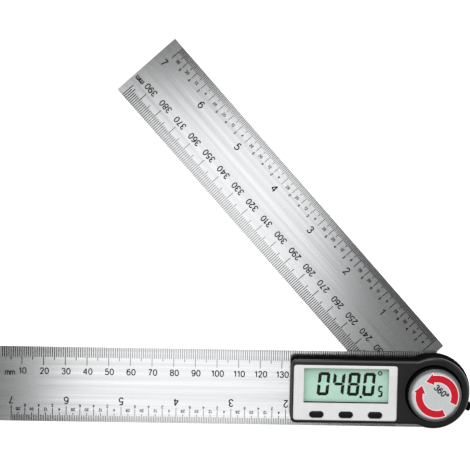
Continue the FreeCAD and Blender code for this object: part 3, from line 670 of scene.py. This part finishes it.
class RULE_OT_base_scales(bpy.types.Operator):
    """Millimetre and inch scales on the level blade"""
    bl_idname = "rule.base_scales"
    bl_label = "Level blade scales"

    def execute(self, context):
        settings = context.scene.rule_marks
        draw_scales("base", BASE_HIGH.z, 0, settings.figure_stroke, settings.worn_level)
        return {'FINISHED'}


class RULE_OT_arm_scales(bpy.types.Operator):
    """Millimetre and inch scales on the swinging blade"""
    bl_idname = "rule.arm_scales"
    bl_label = "Swinging blade scales"

    def execute(self, context):
        settings = context.scene.rule_marks
        draw_scales("arm", ARM_TOP, -REST_ANGLE, settings.bold_stroke, settings.worn_swinging)
        return {'FINISHED'}


# ---- Display ----

SEGMENTS = {"0": "abcdef", "1": "bc", "2": "abged", "3": "abgcd", "4": "fgbc", "5": "afgcd", "6": "afgedc",
            "7": "abc", "8": "abcdefg", "9": "abfgcd"}
INK_HEIGHT = 0.02 * MM
LAST_PLACE = (-25.85 * MM, -2.4 * MM)             # foot of the small last figure
LAST_SIZE = (2.3 * MM, 5.3 * MM, 0.85 * MM)       # its width, height and stroke
POINT_PLACE = (-33.38 * MM, -2.47 * MM)
POINT_RADIUS = 0.68 * MM
DEGREE_PLACE = (-24.75 * MM, 8.67 * MM)
DEGREE_RADIUS = 1.05 * MM
DEGREE_STROKE = 0.5 * MM

# Shares of a segment's stroke
GAP_SHARE = 0.1        # left between neighbours
MIDDLE_SHARE = 0.9     # the middle bar is thinner
BLUNT_SHARE = 0.45     # cut off each end of a level bar
OUTER_SHARE = 0.4      # cut off the outer end of an upright bar
INNER_SHARE = 0.25     # cut off its inner end


def cut(piece, point, normal):
    """Cuts away what lies on the normal's side of a plane, and closes the cut."""
    return edit(piece, lambda: bpy.ops.mesh.bisect(plane_co=point, plane_no=normal, use_fill=True,
                                                   clear_outer=True))


def segment(letter, width, height, stroke):
    """One bar of a seven-bar figure whose foot is at the origin, with mitred and blunted ends."""
    gap = GAP_SHARE * stroke
    middle = height / 2
    level_of = {"a": height - stroke / 2, "g": middle, "d": stroke / 2}
    if letter in level_of:
        share = MIDDLE_SHARE if letter == "g" else 1
        piece = bar(width / 2, level_of[letter], 0, width, stroke * share, INK_HEIGHT)
        mitres = {"a": ((height, -1, 1),), "d": ((0, 1, 1),),
                  "g": ((middle, 1, 0.5), (middle, -1, 0.5))}[letter]
        for corner_y, up, slope in mitres:
            cut(piece, (gap, corner_y, 0), (-slope, -up, 0))
            cut(piece, (width - gap, corner_y, 0), (slope, -up, 0))
        blunt = BLUNT_SHARE * stroke
        cut(piece, (blunt, 0, 0), (-1, 0, 0))
        return cut(piece, (width - blunt, 0, 0), (1, 0, 0))
    outward = -1 if letter in "ef" else 1
    up = 1 if letter in "bf" else -1
    corner_x = 0 if outward < 0 else width
    corner_y = height if up > 0 else 0
    piece = bar(corner_x - outward * stroke / 2, (corner_y + middle) / 2, 0, stroke, middle, INK_HEIGHT)
    cut(piece, (corner_x, corner_y - up * gap, 0), (-outward, up, 0))
    cut(piece, (corner_x, middle + up * gap, 0), (-outward * 0.5, -up, 0))
    cut(piece, (0, corner_y - up * OUTER_SHARE * stroke, 0), (0, up, 0))
    return cut(piece, (0, middle + up * INNER_SHARE * stroke, 0), (0, -up, 0))


def seven_bar_figure(figure, x, y, z, width, height, stroke, slant):
    piece = join("figure_" + figure, [segment(letter, width, height, stroke) for letter in SEGMENTS[figure]])
    lean = Matrix(((1, math.tan(slant), 0, 0), (0, 1, 0, 0), (0, 0, 1, 0), (0, 0, 0, 1)))
    piece.data.transform(lean)
    return place(piece, x, y, z)


class RULE_OT_display(bpy.types.Operator):
    """The reading on the display glass"""
    bl_idname = "rule.display"
    bl_label = "Display reading"

    def execute(self, context):
        settings = context.scene.rule_display
        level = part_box("lcd_glass")[1].z
        ink = printed_ink("display_segment", settings.figure_colour, 0.35)
        size = (settings.width, settings.height, settings.stroke)
        pieces = [seven_bar_figure(figure, settings.left + index * settings.pitch, settings.foot, level,
                                   *size, settings.slant) for index, figure in enumerate(settings.reading)]
        pieces.append(seven_bar_figure(settings.last_figure, *LAST_PLACE, level, *LAST_SIZE, settings.slant))
        bpy.ops.mesh.primitive_cylinder_add(vertices=20, radius=POINT_RADIUS, depth=INK_HEIGHT,
                                            location=(*POINT_PLACE, level + INK_HEIGHT / 2))
        pieces.append(bpy.context.object)
        bpy.ops.mesh.primitive_circle_add(vertices=32, radius=DEGREE_RADIUS, fill_type='NGON',
                                          location=(*DEGREE_PLACE, level))
        degree = settle(bpy.context.object)
        edit(degree, lambda: bpy.ops.mesh.inset(thickness=DEGREE_STROKE),
             lambda: bpy.ops.mesh.delete(type='FACE'))
        pieces.append(thicken(degree, INK_HEIGHT))
        reading = join("display_reading", pieces)
        set_material(reading, ink)
        finished(reading, "base")
        return {'FINISHED'}


SILL_INSET = 0.8 * MM    # from the lens's edges
SILL_WIDTH = 0.42 * MM
SILL_GAP = 0.01 * MM     # over the lens
SILL_DROP = 0.12 * MM    # under the plate's top


class RULE_OT_window(bpy.types.Operator):
    """The dark sill along the foot of the display window: partly its black lower wall, partly painted shade
    for the shadow along that wall
    """
    bl_idname = "rule.window"
    bl_label = "Window sill"

    def execute(self, context):
        lens_low, lens_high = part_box("display_lens")
        bottom = lens_high.z + SILL_GAP
        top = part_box("display_plate")[1].z - SILL_DROP
        # Partly painted shade: a black strip for the window's lower wall and the shadow that lies along it.
        sill = bar((lens_low.x + lens_high.x) / 2, lens_low.y + SILL_INSET + SILL_WIDTH / 2, bottom,
                   lens_high.x - lens_low.x - 2 * SILL_INSET, SILL_WIDTH, top - bottom)
        sill.name = "window_sill"
        set_material(sill, moulded_plastic("black_sill_and_shade", linear("#0c0f0e"), 0.5))
        finished(sill, "base")
        return {'FINISHED'}


# ---- Knob ----

PRINT_DEPTH = 0.03 * MM    # the print ends level with the top of the knob
# Steps up the disc's rim, inward and up in millimetres
FACE_SLOPE = ((0.1, 0.22), (0.2, 0.18), (0.28, 0.13), (0.32, 0.08), (0.36, 0.04), (0.1, 0))
PAINTED_SHADE_START_INSET = 2.2 * MM    # painted shade on the film begins this far in from the rim
PAINTED_SHADE_FULL_INSET = 0.5 * MM      # and is deepest from this far in, out to the rim
BAND_STEPS = 42
TIP_SHARE = 1.08           # an arrow's tip lies this much further out than its band's middle
MERGE = 0.001 * MM         # points closer than this are one point
# Name, mirrored, turn in degrees
ARROWS = (("knob_arrow_loosen", False, 99.8), ("knob_arrow_tighten", True, 171.7))
WORDS_PLACE = (2.8 * MM, 1.9 * MM)
WORDS_TURN = -41           # degrees
WORDS_STROKE = 0.6 * MM


class RULE_OT_knob_face(bpy.types.Operator):
    """The knob's silver disc with its soft sloping rim"""
    bl_idname = "rule.knob_face"
    bl_label = "Knob face"

    def execute(self, context):
        finishes = context.scene.rule_finishes
        low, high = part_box("knob_cap")
        drop = sum(up for _, up in FACE_SLOPE) * MM + PRINT_DEPTH
        bpy.ops.mesh.primitive_cylinder_add(vertices=144, radius=high.x, depth=high.z - drop - low.z,
                                            location=(0, 0, (high.z - drop + low.z) / 2))
        disc = settle(bpy.context.object, "knob_face")
        select_faces(disc, lambda face: face.normal.z > 0.9)
        select_only(disc)
        bpy.ops.object.mode_set(mode='EDIT')
        bpy.ops.mesh.select_mode(type='FACE')
        for inward, up in FACE_SLOPE:
            bpy.ops.mesh.inset(thickness=inward * MM, depth=up * MM)
        bpy.ops.object.mode_set(mode='OBJECT')
        set_material(disc, satin_silver("satin_silver_film", finishes.silver, 0.42,
                                        high.x - PAINTED_SHADE_START_INSET, high.x - PAINTED_SHADE_FULL_INSET))
        select_only(disc)
        bpy.ops.object.shade_smooth_by_angle(angle=math.radians(40))
        finished(disc, "knob")
        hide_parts("knob_cap")
        return {'FINISHED'}


def curved_arrow(name, mirrored, turn, level, settings):
    """A curved band with a head at its end: an edge spun about the axis, then drawn out to a tip."""
    middle = (settings.band_inner + settings.band_outer) / 2
    band = settings.band_outer - settings.band_inner
    bpy.ops.mesh.primitive_plane_add(size=band, location=(middle, 0, 0))
    arrow = settle(bpy.context.object, name)

    def flatten_to_edge():
        bpy.ops.transform.resize(value=(1, 0, 1), center_override=(middle, 0, 0))
        bpy.ops.mesh.remove_doubles(threshold=MERGE)

    def spin_band():
        bpy.ops.mesh.spin(steps=BAND_STEPS, angle=settings.band_sweep, center=(0, 0, 0), axis=(0, 0, 1))

    edit(arrow, flatten_to_edge, spin_band)
    for vertex in arrow.data.vertices:
        vertex.select = abs(vertex.co.y) < MERGE and vertex.co.x > 0
    for side in arrow.data.edges:
        side.select = all(arrow.data.vertices[i].select for i in side.vertices)
    for face in arrow.data.polygons:
        face.select = False
    select_only(arrow)
    bpy.ops.object.mode_set(mode='EDIT')
    bpy.ops.mesh.select_mode(type='EDGE')
    bpy.ops.mesh.extrude_edges_move()
    bpy.ops.transform.resize(value=((band + 2 * settings.head_overhang) / band, 1, 1),
                             center_override=(middle, 0, 0))
    bpy.ops.mesh.extrude_edges_move()
    tip = (TIP_SHARE * middle * math.cos(settings.head_sweep),
           TIP_SHARE * middle * math.sin(settings.head_sweep), 0)
    bpy.ops.transform.translate(value=(tip[0] - middle, tip[1], 0))
    bpy.ops.transform.resize(value=(0, 0, 0), center_override=tip)
    bpy.ops.mesh.select_all(action='SELECT')
    bpy.ops.mesh.remove_doubles(threshold=MERGE)
    bpy.ops.mesh.dissolve_degenerate(threshold=MERGE)
    bpy.ops.object.mode_set(mode='OBJECT')
    if mirrored:
        arrow.scale = (1, -1, 1)
        settle(arrow)
    edit(arrow, lambda: bpy.ops.mesh.normals_make_consistent(inside=False))
    if sum(face.normal.z for face in arrow.data.polygons) < 0:
        edit(arrow, bpy.ops.mesh.flip_normals)
    inside = len(arrow.data.polygons)
    edit(arrow, lambda: bpy.ops.mesh.inset(thickness=settings.border, use_boundary=True,
                                           use_even_offset=True))
    for face in arrow.data.polygons[inside:]:
        face.material_index = 1
    return place(arrow, *settings.print_shift, level, turn)


class RULE_OT_knob_print(bpy.types.Operator):
    """Two curved arrows and plain figures on the knob's face"""
    bl_idname = "rule.knob_print"
    bl_label = "Knob print"

    def execute(self, context):
        settings = context.scene.rule_knob
        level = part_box("knob_cap")[1].z - PRINT_DEPTH
        red = printed_ink("arrow_red", settings.red, 0.38)
        pale = printed_ink("arrow_border", settings.pale, 0.4)
        black = printed_ink("figure_black", linear("#17181a"), 0.45)
        for name, mirrored, turn in ARROWS:
            arrow = curved_arrow(name, mirrored, math.radians(turn), level, settings)
            set_material_keep(arrow, red, pale)
            thicken(arrow, PRINT_DEPTH)
            finished(arrow, "knob")
        figures = line_of_words(settings.words, settings.words_height, WORDS_STROKE, 3)
        figures = flatten(place(figures, *WORDS_PLACE, level, math.radians(WORDS_TURN)), level, PRINT_DEPTH)
        figures.name = "knob_figures"
        set_material(figures, black)
        finished(figures, "knob")
        return {'FINISHED'}


# ---- Finishes of the carried-over pieces ----

HOUSING_SKIN = 1.15 * MM               # the cover's skin reaches this far below its top
BUTTON_SKIN = 0.3 * MM                 # the keys' skin starts this far above the plate
TURNED = (2 * MM, 2 * MM, 0.12 * MM)   # grain of tool marks that run round a turned piece


def slot_materials():
    """One finish for each material slot of the record."""
    finishes = bpy.context.scene.rule_finishes
    display = bpy.context.scene.rule_display
    return {
        "black_abs": moulded_plastic("black_textured_abs", finishes.housing, 0.3, grain=0.35 * MM,
                                     depth=0.012 * MM, gloss=0.0, skin=0.9,
                                     skin_level=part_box("housing_cover")[1].z - HOUSING_SKIN),
        "tray_abs": moulded_plastic("black_plain_abs", linear("#2a2a2c"), 0.5),
        "plate_plastic": moulded_plastic("pale_satin_abs", finishes.plate, 0.33, grain=0.5 * MM,
                                         depth=0.004 * MM),
        "clear_acrylic": clear_acrylic("clear_acrylic"),
        "display_glass": display_crystal("display_crystal", display.glass_colour),
        "silicone": striped_silicone("layered_silicone", linear("#232323")),
        "button_rubber": moulded_plastic("black_key_rubber", finishes.buttons, 0.34, grain=0.4 * MM,
                                         depth=0.004 * MM, gloss=0.04, skin=0.3,
                                         skin_level=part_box("display_plate")[1].z + BUTTON_SKIN),
        "circuit_board": solder_mask("green_solder_mask", linear("#1d6b35")),
        "chip_black": moulded_plastic("black_epoxy", linear("#202021"), 0.55),
        "plated_metal": machined_metal("nickel_plate", linear("#cfcfca"), 0.25),
        "screw_steel": machined_metal("zinc_plated_steel", linear("#b4b6b9"), 0.32),
        "hub_aluminium": machined_metal("turned_aluminium", linear("#d3d5d8"), 0.3, TURNED),
        "brass": machined_metal("turned_brass", linear("#cdb06e"), 0.28, TURNED),
        "nylon": moulded_plastic("natural_nylon", linear("#e4e1d6"), 0.5),
        "silver_cap": machined_metal("satin_aluminium", linear("#cdd1d4"), 0.35),
    }


class RULE_OT_finishes(bpy.types.Operator):
    """Materials for every piece that keeps its own shape"""
    bl_idname = "rule.finishes"
    bl_label = "Finishes"

    def execute(self, context):
        finishes = context.scene.rule_finishes
        materials = slot_materials()
        own = {
            "base_blade": brushed_stainless_steel("brushed_steel_level", finishes.steel, 0),
            "arm_blade": brushed_stainless_steel("brushed_steel_arm", finishes.steel, -REST_ANGLE),
            "knob_grip": moulded_plastic("black_knob_abs", shade(finishes.housing, 0.7), 0.4, gloss=0.2),
        }
        for row in frame["record"]["subparts"]:
            node = frame["nodes"][row["node"]]
            material = own.get(row["node"]) or materials[row["material_slot"]]
            if not node.material_slots:
                node.data.materials.append(None)
            for slot in node.material_slots:
                slot.material = material
        return {'FINISHED'}


# ---- Stage ----

# Name, setting and share of it for the power, place, aim, width and depth
LIGHTS = (("soft_box", "overhead", 1.0, (-0.119, -0.1, 0.92), (-0.119, -0.1, 0), 0.262, 0.4),
          ("side_left", "side", 1.1, (-1.3, 0.1, 0.9), (-0.08, 0.05, 0), 1.5, 1.5),
          ("side_right", "side", 1.0, (1.2, 0.1, 0.9), (-0.08, 0.05, 0), 1.5, 1.5),
          ("back_panel", "back", 1.0, (-0.15, 1.0, 0.7), (-0.05, 0.0, 0), 0.7, 1.1))
STEEL_MARKS = ("base_scale_lines", "base_scale_figures", "arm_scale_lines", "arm_scale_figures")
CAMERA_PLACE = (-0.10649, 0.17443, 0.92631)
CAMERA_TURN = (-0.11207, -0.01308, 0.01852)
FLOOR_SIZE = 6
FLOOR_GLOW = 0.6         # holds the floor at the photograph's plain white


def area_light(name, place_of, aim, width, depth, power):
    bpy.ops.object.light_add(type='AREA', location=place_of)
    light = bpy.context.object
    light.name = name
    light.data.shape = 'RECTANGLE'
    light.data.size = width
    light.data.size_y = depth
    light.data.energy = power
    light.rotation_euler = (Vector(aim) - Vector(place_of)).to_track_quat('-Z', 'Y').to_euler()
    return light


def keep_off(light, pieces):
    """Keeps a light off these pieces, as a flag on a stand does."""
    flagged = bpy.data.collections.new("flagged_from_" + light.name)
    for piece in pieces:
        flagged.objects.link(piece)
    for row in flagged.collection_objects:
        row.light_linking.link_state = 'EXCLUDE'
    light.light_linking.receiver_collection = flagged


class RULE_OT_stage(bpy.types.Operator):
    """Floor, surroundings, lights and camera"""
    bl_idname = "rule.stage"
    bl_label = "Stage"

    def execute(self, context):
        settings = context.scene.rule_stage
        bpy.ops.mesh.primitive_plane_add(size=FLOOR_SIZE, location=(0, 0, 0))
        floor = bpy.context.object
        floor.name = "stage_floor"
        paper = new_material("matt_paper", Roughness=0.9, Emission_Color=(1, 1, 1, 1),
                             Emission_Strength=FLOOR_GLOW)
        fibres = object_grain(paper, (3 * MM, 3 * MM, 3 * MM))
        feed(paper, "Base Color", mottled(paper, fibres, settings.floor, 0.985, 1))
        set_material(floor, paper)

        world = bpy.data.worlds.new("surroundings")
        world.use_nodes = True
        background = world.node_tree.nodes["Background"]
        background.inputs["Color"].default_value = (1, 1, 1, 1)
        background.inputs["Strength"].default_value = settings.ambient
        context.scene.world = world

        for name, setting, share, place_of, aim, width, depth in LIGHTS:
            light = area_light(name, place_of, aim, width, depth, getattr(settings, setting) * share)
            if name == "back_panel":
                # It is for the plastic's edges. The steel would mirror it as a white patch in low views.
                keep_off(light, [frame["nodes"]["base_blade"], frame["nodes"]["arm_blade"],
                                 *(bpy.data.objects[piece] for piece in STEEL_MARKS)])

        bpy.ops.object.camera_add(location=CAMERA_PLACE, rotation=CAMERA_TURN)
        camera = context.object
        camera.name = "photo_camera"
        camera.data.sensor_width = 36
        camera.data.lens = settings.lens
        camera.data.clip_start = 0.01
        camera.data.clip_end = 20
        context.scene.camera = camera
        context.scene.view_settings.view_transform = 'Standard'   # whites stay white
        return {'FINISHED'}


class VIEW3D_PT_angle_rule(bpy.types.Panel):
    """Lists the steps that dress the angle rule"""
    bl_label = "Angle Rule"
    bl_idname = "VIEW3D_PT_angle_rule"
    bl_space_type = 'VIEW_3D'
    bl_region_type = 'UI'
    bl_category = "Angle Rule"

    def draw(self, context):
        for operator in OPERATORS:
            self.layout.operator(operator.bl_idname)
        for group in GROUPS:
            settings = getattr(context.scene, group)
            box = self.layout.box()
            for name in settings.bl_rna.properties.keys():
                if name not in {"rna_type", "name"}:
                    box.prop(settings, name)


GROUPS = {"rule_marks": MarkSettings, "rule_display": DisplaySettings, "rule_knob": KnobSettings,
          "rule_finishes": FinishSettings, "rule_stage": StageSettings}
OPERATORS = (RULE_OT_finishes, RULE_OT_base_scales, RULE_OT_arm_scales, RULE_OT_display, RULE_OT_window,
             RULE_OT_knob_face, RULE_OT_knob_print, RULE_OT_stage)


def register():
    for kind in (*GROUPS.values(), *OPERATORS, VIEW3D_PT_angle_rule):
        bpy.utils.register_class(kind)
    for name, kind in GROUPS.items():
        setattr(bpy.types.Scene, name, PointerProperty(type=kind))


def unregister():
    for name in GROUPS:
        delattr(bpy.types.Scene, name)
    for kind in (VIEW3D_PT_angle_rule, *reversed(OPERATORS), *GROUPS.values()):
        bpy.utils.unregister_class(kind)


def main():
    register()
    for step in ("finishes", "base_scales", "arm_scales", "display", "window", "knob_face", "knob_print",
                 "stage"):
        getattr(bpy.ops.rule, step)()
    clear_selection()


if __name__ == "__main__":
    main()
